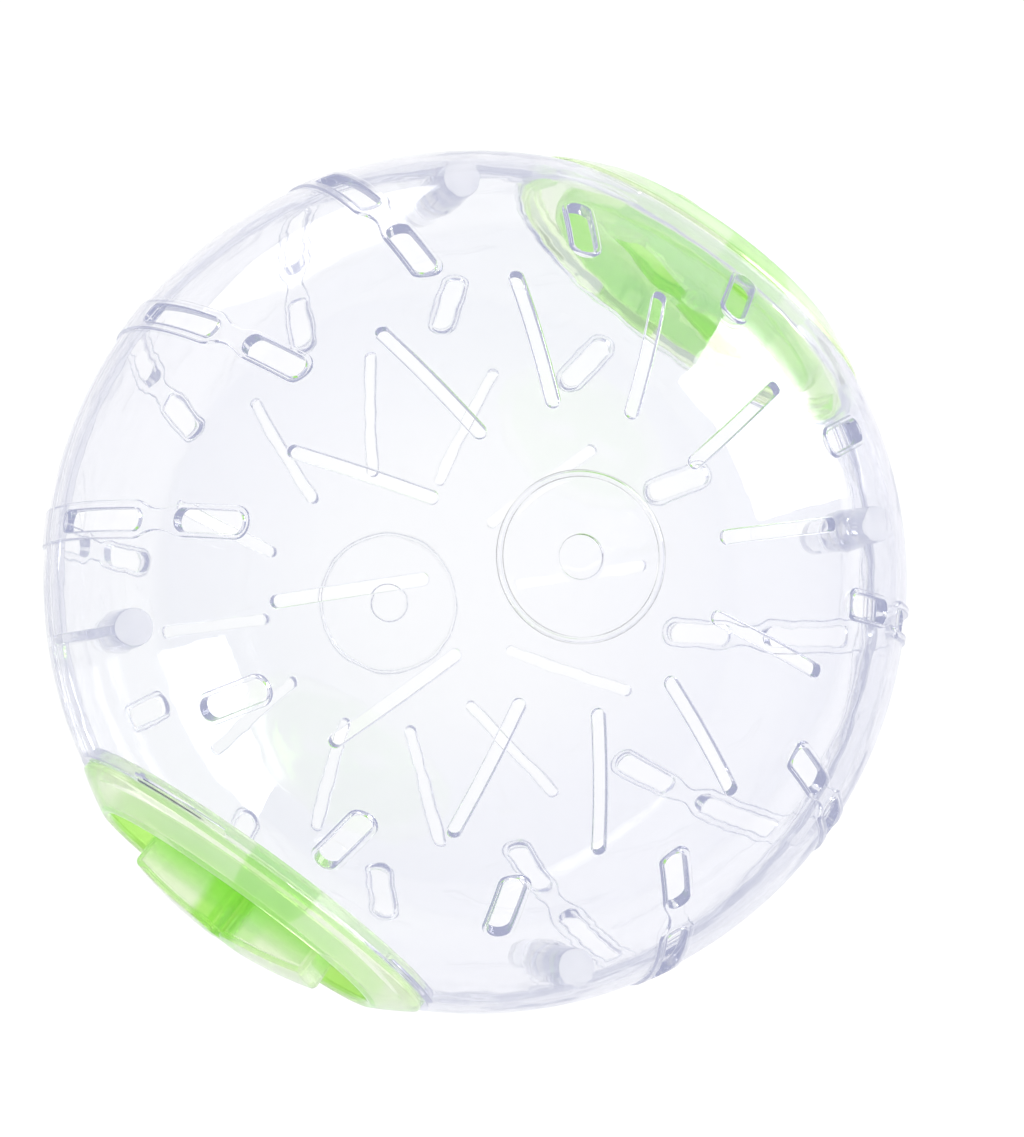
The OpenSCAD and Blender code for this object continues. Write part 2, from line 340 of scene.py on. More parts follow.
def half_shell(name, upper):
    prof = seam_profile()
    k = [i for i, p in enumerate(prof) if p[0] < 1e-9]
    # the profile touches the axis twice, so it is turned as two skins and bridged at the seam
    on = prof[: k[0] + 1]
    ins = prof[k[0] + 1 :]
    n = 240
    ang = 2 * np.pi * np.arange(n) / n
    verts, cols = [], []
    for r, h in prof:
        if r < 1e-9:
            cols.append([len(verts)] * n)
            verts.append((0, 0, h))
        else:
            cols.append(list(range(len(verts), len(verts) + n)))
            verts += [(r * math.cos(a), r * math.sin(a), h) for a in ang]
    faces = []
    m = len(prof)
    for a in range(m):
        b = (a + 1) % m
        if a == k[0]:
            continue
        for i in range(n):
            j = (i + 1) % n
            q = list(dict.fromkeys([cols[a][i], cols[a][j], cols[b][j], cols[b][i]]))
            if len(q) > 2:
                faces.append(q)
    shell = make(name, verts, faces)

    # raised pads
    pads = []
    for az in SHORT_AZ:
        out = stadium(R * math.radians(10.7) + 2.3, 7.4)
        pads.append(pad(az, 48.35, out, 3.7))
    for az in PAIR_AZ:
        pads.append(pair_pad(az))
    boolean(shell, joined("pads", pads), "UNION")

    # port collars
    collars = []
    for sign in (1, -1):
        prof_c = [(45.2, 83.2), (47.5, 83.2), (47.75, 83.28), (47.87, 83.45), (47.9, 83.7), (47.9, 87.55), (45.2, 87.55)]
        c = lathe("collar", [(r, sign * x) for r, x in prof_c], 224, "x")
        collars.append(c)
    boolean(shell, joined("collars", collars), "UNION")

    # ribs and seam posts
    ribs = []
    for pr, az in POSTS:
        side = [(pr, -1.2)] + [(99.0 * math.cos(t), 99.0 * math.sin(t)) for t in np.radians(np.linspace(-0.7, 5.2, 8))]
        side += [(pr + 3.7, 23.3), (pr, 23.3)]
        side = np.array(side)
        rings = []
        for y, g in ((-1.1, -0.35), (-1.0, -0.12), (-0.75, 0.0), (0.75, 0.0), (1.0, -0.12), (1.1, -0.35)):
            p = grown(side, g)
            rings.append(np.stack([p[:, 0], np.full(len(p), y), p[:, 1]], 1))
        nn = len(side)
        v = np.concatenate(rings)
        f = []
        for q in range(len(rings) - 1):
            for i in range(nn):
                j = (i + 1) % nn
                f.append([q * nn + i, q * nn + j, (q + 1) * nn + j, (q + 1) * nn + i])
        f.append(list(range(nn)))
        f.append(list(range((len(rings) - 1) * nn, len(rings) * nn))[::-1])
        rot = np.array(Matrix.Rotation(math.radians(az), 3, "Z"))
        ribs.append(make("rib", v @ rot.T, f))
    boolean(shell, joined("ribs", ribs), "UNION")
    posts = []
    for pr, az in POSTS:
        prof_p = [(0, -1.2), (5.14, -1.2), (5.1, 0.0), (4.65, 12.0), (4.25, 23.5), (4.2, 23.8), (4.1, 23.94), (3.95, 24.0), (2.2, 24.0), (0, 24.0)]
        p = lathe("post", prof_p, 56)
        p.data.transform(Matrix.Translation((pr * MM * math.cos(math.radians(az)), pr * MM * math.sin(math.radians(az)), 0)))
        posts.append(p)
    boolean(shell, joined("posts", posts), "UNION")

    # trim at the seam
    trim = lathe("trim", [(0, -60), (130, -60), (130, GAP), (0, GAP)], 48)
    boolean(shell, trim, "DIFFERENCE")

    # ports, flat rims
    ports = []
    for sign in (1, -1):
        prof_o = [(0, 82.2), (47.2, 82.2), (46.9, 82.9), (46.55, 83.12), (46.3, 83.3), (46.22, 83.5), (46.2, 83.8), (46.2, 86.7), (46.22, 86.9), (46.3, 87.08), (46.45, 87.17), (46.7, RIM_X), (48.6, RIM_X), (48.95, RIM_X + 0.03), (49.5, RIM_X + 0.3), (60, RIM_X + 6), (60, 120), (0, 120)]
        ports.append(lathe("port", [(r, sign * x) for r, x in prof_o], 224, "x"))
    boolean(shell, joined("ports", ports), "DIFFERENCE")

    # air slots
    cuts = [slot_cutter(-45 + i * 30, 19.0, 39.4, 2.8) for i in range(12)]
    cuts += [slot_cutter(az, 43.0, 53.7, 5.1, PAD) for az in SHORT_AZ + PAIR_AZ]
    cuts += [slot_cutter(az, 60.3, 80.5, 4.8, PAD) for az in PAIR_AZ]
    boolean(shell, joined("slots", cuts), "DIFFERENCE")

    # catch slots in the collars
    catches = []
    for sign in (1, -1):
        for c in (-39, 51) if upper else (39, -51):
            v = []
            steps = 24
            for i in range(steps + 1):
                a = math.radians(c - 16 + 32 * i / steps)
                for r, x in ((44.5, 84.1), (49.2, 84.1), (49.2, 85.6), (44.5, 85.6)):
                    v.append((x, r * math.sin(a), r * math.cos(a)))
            f = []
            for q in range(steps):
                for i in range(4):
                    j = (i + 1) % 4
                    f.append([q * 4 + i, q * 4 + j, (q + 1) * 4 + j, (q + 1) * 4 + i])
            f += [[0, 1, 2, 3], [steps * 4 + 3, steps * 4 + 2, steps * 4 + 1, steps * 4]]
            catches.append(make("catch", mirrored(v, sign), f))
    boolean(shell, joined("catches", catches), "DIFFERENCE")

    # groove and pins on one half, tongue and bores on the other
    if upper:
        boolean(shell, lathe("groove", [(96.75, -1), (98.45, -1), (98.45, 1.6), (98.35, 1.7), (96.85, 1.7), (96.75, 1.6)], 256), "DIFFERENCE")
        pins = []
        for pr, az in POSTS:
            p = lathe("pin", [(0, 0.9), (2.2, 0.9), (2.2, -8.4), (2.1, -8.8), (1.8, -9.0), (0, -9.0)], 40)
            p.data.transform(Matrix.Translation((pr * MM * math.cos(math.radians(az)), pr * MM * math.sin(math.radians(az)), 0)))
            pins.append(p)
        boolean(shell, joined("pins", pins), "UNION")
    else:
        bores = []
        for pr, az in POSTS:
            p = lathe("bore", [(0, -2), (2.9, -2), (2.6, 0.0), (2.3, 0.35), (2.27, 0.6), (2.27, 9.6), (2.1, 9.9), (1.8, 10.0), (0, 10.0)], 40)
            p.data.transform(Matrix.Translation((pr * MM * math.cos(math.radians(az)), pr * MM * math.sin(math.radians(az)), 0)))
            bores.append(p)
        boolean(shell, joined("bores", bores), "DIFFERENCE")
        tongue = [lathe("tongue", [(96.85, 1), (96.85, -1.35), (97.0, -1.5), (98.2, -1.5), (98.35, -1.35), (98.35, 1)], 110, "z", s, 120.6) for s in (29.7, 209.7)]
        boolean(shell, joined("tongue", tongue), "UNION")
        shell.data.transform(Matrix.Scale(-1, 4, (0, 0, 1)))
        shell.data.flip_normals()
    return shell


# ------------------------------------------------------------------- one lid
def grip_outline(d=0.0):
    """Two lobes on a narrow web, drawn in by d."""
    up = [(-24.5, 0.0), (-24.5, 3.0), (-24.5, 6.4)]
    up += [(-23.4 - 1.1 * math.cos(math.radians(a)), 6.4 + 1.1 * math.sin(math.radians(a))) for a in (22, 45, 68, 90)]
    up += [(s, 7.5) for s in (-20.0, -16.5, -13.0, -9.5)]
    up += [(-6.2 + 5 * math.sin(math.radians(a)), 2.5 + 5 * math.cos(math.radians(a))) for a in (0, 10, 20, 30, 40, 50, 60, 70, 80)]
    up += [(-1.2, 2.9), (-0.95, 2.62), (-0.6, 2.5)]
    up += [(0.0, 2.5)]
    up += [(-a, b) for a, b in up[-2::-1]]
    out = np.array(up + [(a, -b) for a, b in up[-2:0:-1]])
    return grown(out, -d) if d else out


def lid(name, sign):
    up_r = lambda r, rad: DOME_X + math.sqrt(rad * rad - r * r)
    prof = [(0, FLOOR_X)] + [(r, FLOOR_X) for r in (6, 12, 18, 24, 30, 33)]
    prof += [(r, x) for r, x in arc(CUP_R - 2.0, FLOOR_X + 2.0, 2.0, -85, 0, 7)]
    lip = 1.5
    # the lip rounds from the recess wall into the dome
    cx_r = CUP_R + lip
    cx_x = DOME_X + math.sqrt((DOME_R - lip) ** 2 - cx_r**2)
    tilt = math.degrees(math.atan2(cx_x - DOME_X, cx_r))
    prof += [(CUP_R, 90.2)]
    prof += [(r, x) for r, x in arc(cx_r, cx_x, lip, 180, tilt, 8)]
    t0 = math.degrees(math.asin((cx_r + lip * math.cos(math.radians(tilt))) / DOME_R))
    t1 = math.degrees(math.asin((FLANGE_R - 0.35) / DOME_R))
    for t in np.linspace(t0 + 0.4, t1, 14):
        prof.append((DOME_R * math.sin(math.radians(t)), DOME_X + DOME_R * math.cos(math.radians(t))))
    seat = RIM_X + 0.06
    prof += [(FLANGE_R - 0.12, SEAT_X + 1.22), (FLANGE_R - 0.02, SEAT_X + 1.0), (FLANGE_R, SEAT_X + 0.8), (FLANGE_R, seat + 0.3), (FLANGE_R - 0.08, seat + 0.1), (FLANGE_R - 0.3, seat)]
    prof += [(SKIRT_R + 0.3, seat), (SKIRT_R + 0.06, seat - 0.08), (SKIRT_R, seat - 0.3), (SKIRT_R, 85.5), (SKIRT_R, 84.0), (SKIRT_R - 0.1, 83.72), (SKIRT_R - 0.35, 83.6)]
    prof += [(SKIRT_R - LID_T + 0.35, 83.6), (SKIRT_R - LID_T + 0.1, 83.72), (SKIRT_R - LID_T, 84.0), (SKIRT_R - LID_T, 86.0)]
    rs = SKIRT_R - LID_T
    xs = up_r(rs, DOME_R - LID_T)
    prof += [(rs, xs - 0.7), (rs - 0.15, xs - 0.2), (rs - 0.6, up_r(rs - 0.6, DOME_R - LID_T) - 0.02)]
    rw = CUP_R + LID_T
    for r in np.linspace(rs - 1.2, rw + 1.0, 9):
        prof.append((r, up_r(r, DOME_R - LID_T)))
    xw = up_r(rw, DOME_R - LID_T)
    prof += [(rw + 0.35, xw - 0.3), (rw, xw - 1.0), (rw, 89.0)]
    prof += [(r, x) for r, x in arc(rw - 3.0, FLOOR_X - LID_T + 3.0, 3.0, 0, -88, 8)]
    prof += [(r, FLOOR_X - LID_T) for r in (33, 30, 24, 18, 12, 6)] + [(0, FLOOR_X - LID_T)]
    n = 256
    ang = 2 * np.pi * np.arange(n) / n
    verts, cols = [], []
    for r, h in prof:
        if r < 1e-9:
            cols.append([len(verts)] * n)
            verts.append((h, 0, 0))
        else:
            cols.append(list(range(len(verts), len(verts) + n)))
            verts += [(h, r * math.cos(a), r * math.sin(a)) for a in ang]
    faces = []
    for a in range(len(prof) - 1):
        for i in range(n):
            j = (i + 1) % n
            q = list(dict.fromkeys([cols[a][i], cols[a][j], cols[a + 1][j], cols[a + 1][i]]))
            if len(q) > 2:
                faces.append(q)
    body = make(name, verts, faces)

    # thick lug in each quarter of the skirt
    lugs = []
    for c in (-3.5, 86.5, 176.5, 266.5):
        v = []
        steps = 14
        sect = [(42.7, 84.0), (45.4, 84.0), (45.6, 84.3), (45.6, 88.3), (42.4, 88.7), (42.4, 84.3)]
        for i in range(steps + 1):
            t = 2 * i / steps - 1
            ends = 0.35 if abs(t) > 0.999 else 0.0
            a = math.radians(c + 11 * t)
            for r, x in sect:
                rr = 44.0 + (r - 44.0) * (1 - ends * 0.5)
                v.append((x, rr * math.sin(a), rr * math.cos(a)))
        m = len(sect)
        f = []
        for q in range(steps):
            for i in range(m):
                j = (i + 1) % m
                f.append([q * m + i, q * m + j, (q + 1) * m + j, (q + 1) * m + i])
        f += [list(range(m)), list(range(steps * m, steps * m + m))[::-1]]
        lugs.append(make("lug", v, f))
    boolean(body, joined("lugs", lugs), "UNION")

    turn = math.radians(GRIP_TURN)

    def place(st, x):
        """(s, t) across the lid to the row frame; s runs along the grip."""
        s, t = st[:, 0], st[:, 1]
        y = s * math.cos(turn) - t * math.sin(turn)
        z = s * math.sin(turn) + t * math.cos(turn)
        return np.stack([x, y, z], 1)

    def on_top(st, rad, drop=0.0):
        return np.sqrt(rad * rad - st[:, 0] ** 2 - st[:, 1] ** 2) - drop

    base = grip_outline()
    rings = []
    for k in (0.05, 0.5):
        p = towards_middle(grown(base, 0.8), k, 3.0)
        rings.append(place(p, np.full(len(p), 84.5)))
    for x, g in ((84.5, 0.8), (85.5, 0.8), (85.62, 0.6), (85.8, 0.34), (86.1, 0.12), (86.6, 0.0), (89.0, 0.0), (92.0, 0.0)):
        p = grown(base, g)
        rings.append(place(p, np.full(len(p), x)))
    fil = 1.1
    for i in range(0, 6):
        a = math.radians(90 * i / 5)
        p = grown(base, -fil * (1 - math.cos(a)))
        rings.append(place(p, on_top(p, GRIP_TOP, fil * (1 - math.sin(a)))))
    inner = grown(base, -fil)
    for k in (0.85, 0.6, 0.35, 0.05):
        p = towards_middle(inner, k, 3.0)
        rings.append(place(p, on_top(p, GRIP_TOP)))
    boolean(body, loft("grip", rings), "UNION")
    hollow = grip_outline(LID_T)
    rings = []
    for k in (0.05, 0.5):
        p = towards_middle(hollow, k, 3.0)
        rings.append(place(p, np.full(len(p), 82.0)))
    for x, g in ((82.0, 0.5), (83.9, 0.5), (84.1, 0.25), (84.5, 0.0), (88.0, 0.0), (92.0, 0.0)):
        p = grown(hollow, g)
        rings.append(place(p, np.full(len(p), x)))
    fi = 0.6
    for i in range(0, 5):
        a = math.radians(90 * i / 4)
        p = grown(hollow, -fi * (1 - math.cos(a)))
        rings.append(place(p, on_top(p, GRIP_TOP - LID_T, fi * (1 - math.sin(a)))))
    inner = grown(hollow, -fi)
    for k in (0.8, 0.5, 0.25, 0.05):
        p = towards_middle(inner, k, 2.0)
        rings.append(place(p, on_top(p, GRIP_TOP - LID_T)))
    boolean(body, loft("grip_hollow", rings), "DIFFERENCE")
    if sign < 0:
        body.data.transform(Matrix.Rotation(math.pi, 4, "Z"))
    return body


# ------------------------------------------------------------ smooth normals
def smooth(ob, balls, angle=32.0):
    """Sets the shading: exact on the ball-shaped faces, rounded by angle elsewhere.
    balls holds (centre, radius) in millimetres."""
    me = ob.data
    me.calc_loop_triangles()
    nl, nf = len(me.loops), len(me.polygons)
    lv = np.zeros(nl, np.int32)
    me.loops.foreach_get("vertex_index", lv)
    co = np.zeros(len(me.vertices) * 3)
    me.vertices.foreach_get("co", co)
    co = co.reshape(-1, 3) / MM
    start = np.zeros(nf, np.int32)
    total = np.zeros(nf, np.int32)
    me.polygons.foreach_get("loop_start", start)
    me.polygons.foreach_get("loop_total", total)
    fn = np.zeros(nf * 3)
    me.polygons.foreach_get("normal", fn)
    fn = fn.reshape(-1, 3)
    area = np.zeros(nf)
    me.polygons.foreach_get("area", area)
    lf = np.repeat(np.arange(nf), total)
    order = np.argsort(start, kind="stable")
    lf = np.repeat(order, total[order])
    # corner angles as weights
    nxt = np.arange(nl) + 1
    prv = np.arange(nl) - 1
    ends = start + total - 1
    nxt[ends] = start
    prv[start] = ends
    a = co[lv[nxt]] - co[lv]
    b = co[lv[prv]] - co[lv]
    a /= np.maximum(np.linalg.norm(a, axis=1), 1e-12)[:, None]
    b /= np.maximum(np.linalg.norm(b, axis=1), 1e-12)[:, None]
    w = np.arccos(np.clip(np.sum(a * b, 1), -1, 1))
    w = w * np.where(area[lf] * 1e6 < 1e-5, 0.01, 1.0)
    # all pairs of corners at one vertex
    by_v = np.argsort(lv, kind="stable")
    counts = np.bincount(lv, minlength=len(me.vertices))
    first = np.concatenate([[0], np.cumsum(counts)[:-1]])
    n_of = counts[lv]
    li = np.repeat(np.arange(nl), n_of)
    offs = np.arange(len(li)) - np.repeat(np.cumsum(n_of) - n_of, n_of)
    lj = by_v[first[lv[li]] + offs]
    near = np.sum(fn[lf[li]] * fn[lf[lj]], 1) > math.cos(math.radians(angle))
    li, lj = li[near], lj[near]
    out = np.zeros((nl, 3))
    for k in range(3):
        out[:, k] = np.bincount(li, weights=fn[lf[lj], k] * w[lj], minlength=nl)
    size = np.linalg.norm(out, axis=1)
    out = np.where(size[:, None] > 1e-9, out / np.maximum(size, 1e-12)[:, None], fn[lf])
    for centre, rad in balls:
        d = co[lv] - np.array(centre)
        dist = np.linalg.norm(d, axis=1)
        u = d / np.maximum(dist, 1e-9)[:, None]
        dot = np.sum(u * fn[lf], 1)
        hit = (np.abs(dist - rad) < 0.035) & (np.abs(dot) > 0.985)
        out[hit] = u[hit] * np.sign(dot[hit])[:, None]
    me.polygons.foreach_set("use_smooth", np.ones(nf, bool))
    me.normals_split_custom_set(out)
    me.update()


upper = half_shell("clear_upper_half", True)
lower = half_shell("clear_lower_half", False)
right = lid("green_right_lid", 1)
left = lid("green_left_lid", -1)
zero = (0, 0, 0)
for ob in (upper, lower):
    smooth(ob, [(zero, R), (zero, RI), (zero, R + PAD)])
for ob, s in ((right, 1), (left, -1)):
    c = (s * DOME_X, 0, 0)
    smooth(ob, [(c, DOME_R), (c, DOME_R - LID_T), (zero, GRIP_TOP), (zero, GRIP_TOP - LID_T)])

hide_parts("upper_half_shell")
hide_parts("lower_half_shell")
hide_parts("right_lid")
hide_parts("left_lid")
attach(upper, "ball")
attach(lower, "ball")
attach(right, "right_lid")
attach(left, "left_lid")


# ---------------------------------------------------------------- materials
def nodes_of(name):
    m = bpy.data.materials.new(name)
    m.use_nodes = True
    nt = m.node_tree
    nt.nodes.clear()
    out = nt.nodes.new("ShaderNodeOutputMaterial")
    return m, nt, out


def calc(nt, op, a, b=None):
    """A maths node; a and b are sockets or numbers."""
    node = nt.nodes.new("ShaderNodeMath")
    node.operation = op
    for i, v in enumerate((a, b)):
        if isinstance(v, (int, float)):
            node.inputs[i].default_value = v
        elif v is not None:
            nt.links.new(v, node.inputs[i])
    return node.outputs[0]


def eased(nt, v, v0, v1, lo, hi):
    """Goes from lo to hi while v goes from v0 to v1."""
    node = nt.nodes.new("ShaderNodeMapRange")
    node.interpolation_type = "SMOOTHSTEP"
    nt.links.new(v, node.inputs["Value"])
    node.inputs["From Min"].default_value = v0
    node.inputs["From Max"].default_value = v1
    node.inputs["To Min"].default_value = lo
    node.inputs["To Max"].default_value = hi
    return node.outputs["Result"]


def see_through(nt, out, surface, tint, sigma, glow, turns):
    """Lamps and the floor's own light pass the plastic without a caustic. Inside the plastic each colour fades by sigma
    per metre towards glow, and a ray that has made more than the given number of turns fades much faster, so light
    guided along a wall never ends black.
    The glow is painted light: the plastic emits it to camera, glossy and transmission rays, though it is no lamp."""
    path = nt.nodes.new("ShaderNodeLightPath")
    both = calc(nt, "MAXIMUM", path.outputs["Is Shadow Ray"], path.outputs["Is Diffuse Ray"])
    clear = nt.nodes.new("ShaderNodeBsdfTransparent")
    clear.inputs["Color"].default_value = (*tint, 1)
    mix = nt.nodes.new("ShaderNodeMixShader")
    nt.links.new(both, mix.inputs[0])
    nt.links.new(surface, mix.inputs[1])
    nt.links.new(clear.outputs[0], mix.inputs[2])
    nt.links.new(mix.outputs[0], out.inputs["Surface"])
    guided = calc(nt, "MULTIPLY", calc(nt, "GREATER_THAN", path.outputs["Ray Depth"], turns), 40.0)
    seen = calc(nt, "MULTIPLY", calc(nt, "SUBTRACT", 1.0, both), calc(nt, "ADD", guided, 1.0))
    d = max(sigma)
    take = nt.nodes.new("ShaderNodeVolumeAbsorption")
    take.inputs["Color"].default_value = (*[1 - s / d for s in sigma], 1)
    nt.links.new(calc(nt, "MULTIPLY", seen, d), take.inputs["Density"])
    e = [s * g for s, g in zip(sigma, glow)]
    painted_glow = nt.nodes.new("ShaderNodeEmission")
    painted_glow.inputs["Color"].default_value = (*[v / max(e) for v in e], 1)
    nt.links.new(calc(nt, "MULTIPLY", seen, max(e)), painted_glow.inputs["Strength"])
    add = nt.nodes.new("ShaderNodeAddShader")
    nt.links.new(take.outputs[0], add.inputs[0])
    nt.links.new(painted_glow.outputs[0], add.inputs[1])
    nt.links.new(add.outputs[0], out.inputs["Volume"])


def clear_plastic():
    m, nt, out = nodes_of("clear_plastic")
    p = nt.nodes.new("ShaderNodeBsdfPrincipled")
    p.inputs["Transmission Weight"].default_value = 1.0
    p.inputs["IOR"].default_value = 1.49
    co = nt.nodes.new("ShaderNodeTexCoord")
    # slow waviness of the moulded wall, and a finer ripple from the flow
    wave = nt.nodes.new("ShaderNodeTexNoise")
    wave.inputs["Scale"].default_value = 34.0
    wave.inputs["Detail"].default_value = 1.5
    nt.links.new(co.outputs["Object"], wave.inputs["Vector"])
    bump = nt.nodes.new("ShaderNodeBump")
    bump.inputs["Strength"].default_value = 0.35
    bump.inputs["Distance"].default_value = 0.0006
    nt.links.new(wave.outputs["Fac"], bump.inputs["Height"])
    ripple = nt.nodes.new("ShaderNodeTexNoise")
    ripple.inputs["Scale"].default_value = 210.0
    ripple.inputs["Detail"].default_value = 0.0
    nt.links.new(co.outputs["Object"], ripple.inputs["Vector"])
    fine = nt.nodes.new("ShaderNodeBump")
    fine.inputs["Strength"].default_value = 1.0
    fine.inputs["Distance"].default_value = 0.00002
    nt.links.new(ripple.outputs["Fac"], fine.inputs["Height"])
    nt.links.new(bump.outputs["Normal"], fine.inputs["Normal"])
    nt.links.new(fine.outputs["Normal"], p.inputs["Normal"])
    # thin dark rings painted at the edges of the flat disc and of the gate mark: painted shade standing in for the dark
    # lines those edges bend into view, patchy, and weaker on the lower disc
    sep = nt.nodes.new("ShaderNodeSeparateXYZ")
    nt.links.new(co.outputs["Object"], sep.inputs[0])
    x2 = calc(nt, "MULTIPLY", sep.outputs["X"], sep.outputs["X"])
    y2 = calc(nt, "MULTIPLY", sep.outputs["Y"], sep.outputs["Y"])
    r = calc(nt, "SQRT", calc(nt, "ADD", x2, y2))
    painted_edge_shade = None
    for ring, width, much in ((POLE_R - 0.02, 0.17, 0.75), (POLE_R - 1.4, 0.17, 0.8), (GATE_R - 0.05, 0.15, 0.8)):
        off = calc(nt, "ABSOLUTE", calc(nt, "SUBTRACT", r, ring * MM))
        line = eased(nt, off, width * MM * 0.3, width * MM, much, 0.0)
        painted_edge_shade = line if painted_edge_shade is None else calc(nt, "MAXIMUM", painted_edge_shade, line)
    patchy = nt.nodes.new("ShaderNodeTexNoise")
    patchy.inputs["Scale"].default_value = 55.0
    patchy.inputs["Detail"].default_value = 1.0
    nt.links.new(co.outputs["Object"], patchy.inputs["Vector"])
    painted_edge_shade = calc(nt, "MULTIPLY", painted_edge_shade, eased(nt, patchy.outputs["Fac"], 0.38, 0.55, 0.15, 1.0))
    top = calc(nt, "GREATER_THAN", sep.outputs["Z"], 0.0972)
    foot = calc(nt, "MULTIPLY", calc(nt, "LESS_THAN", sep.outputs["Z"], -0.0972), 0.3)
    painted_edge_shade = calc(nt, "MULTIPLY", painted_edge_shade, calc(nt, "ADD", top, foot))
    tint = nt.nodes.new("ShaderNodeMix")
    tint.data_type = "RGBA"
    nt.links.new(painted_edge_shade, tint.inputs["Factor"])
    tint.inputs["A"].default_value = (0.98, 0.983, 0.995, 1)
    tint.inputs["B"].default_value = (0.12, 0.12, 0.14, 1)
    # a thin dark line painted along the face that closes each catch slot, made less clear there: painted shade standing
    # in for the dark that face mirrors, strong on one side of a lid
    x = sep.outputs["X"]
    rx = calc(nt, "SQRT", calc(nt, "ADD", y2, calc(nt, "MULTIPLY", sep.outputs["Z"], sep.outputs["Z"])))
    at = calc(nt, "ABSOLUTE", calc(nt, "SUBTRACT", calc(nt, "ABSOLUTE", x), 85.6 * MM))
    slit_shade = calc(nt, "MULTIPLY", calc(nt, "LESS_THAN", at, 0.00006), calc(nt, "LESS_THAN", calc(nt, "ABSOLUTE", calc(nt, "SUBTRACT", rx, 47.05 * MM)), 0.42 * MM))
    side = calc(nt, "MULTIPLY", calc(nt, "MULTIPLY", sep.outputs["Y"], calc(nt, "SIGN", x)), calc(nt, "SIGN", sep.outputs["Z"]))
    slit_shade = calc(nt, "MULTIPLY", slit_shade, eased(nt, side, -0.001, 0.001, 1.0, 0.25))
    slit_shade = calc(nt, "MULTIPLY", slit_shade, eased(nt, calc(nt, "ABSOLUTE", sep.outputs["Y"]), 23.4 * MM, 24.4 * MM, 0.0, 1.0))
    dark = nt.nodes.new("ShaderNodeMix")
    dark.data_type = "RGBA"
    nt.links.new(slit_shade, dark.inputs["Factor"])
    nt.links.new(tint.outputs["Result"], dark.inputs["A"])
    dark.inputs["B"].default_value = (0.06, 0.075, 0.09, 1)
    nt.links.new(dark.outputs["Result"], p.inputs["Base Color"])
    haze = nt.nodes.new("ShaderNodeTexNoise")
    haze.inputs["Scale"].default_value = 90.0
    haze.inputs["Detail"].default_value = 4.0
    nt.links.new(co.outputs["Object"], haze.inputs["Vector"])
    rough = nt.nodes.new("ShaderNodeMapRange")
    rough.inputs["To Min"].default_value = 0.005
    rough.inputs["To Max"].default_value = 0.045
    nt.links.new(haze.outputs["Fac"], rough.inputs["Value"])
    # the seam posts end in matt faces, so what is inside them doesn't show from the poles
    level = calc(nt, "ABSOLUTE", sep.outputs["Z"])
    matt = calc(nt, "MULTIPLY", calc(nt, "GREATER_THAN", level, 0.02385), calc(nt, "LESS_THAN", level, 0.0242))
    matt = calc(nt, "MULTIPLY", matt, calc(nt, "LESS_THAN", calc(nt, "ABSOLUTE", sep.outputs["X"]), 0.0755))
    matt = calc(nt, "MULTIPLY", matt, eased(nt, r, 0.0945, 0.0955, 0.16, 0.0))
    nt.links.new(calc(nt, "MAXIMUM", rough.outputs["Result"], matt), p.inputs["Roughness"])
    nt.links.new(calc(nt, "SUBTRACT", 1.0, calc(nt, "MAXIMUM", slit_shade, eased(nt, matt, 0.12, 0.155, 0.0, 0.34))), p.inputs["Transmission Weight"])
    see_through(nt, out, p.outputs[0], (0.997, 0.997, 0.998), (12.0, 12.0, 12.0), (0.41, 0.43, 0.59), 8.5)
    return m


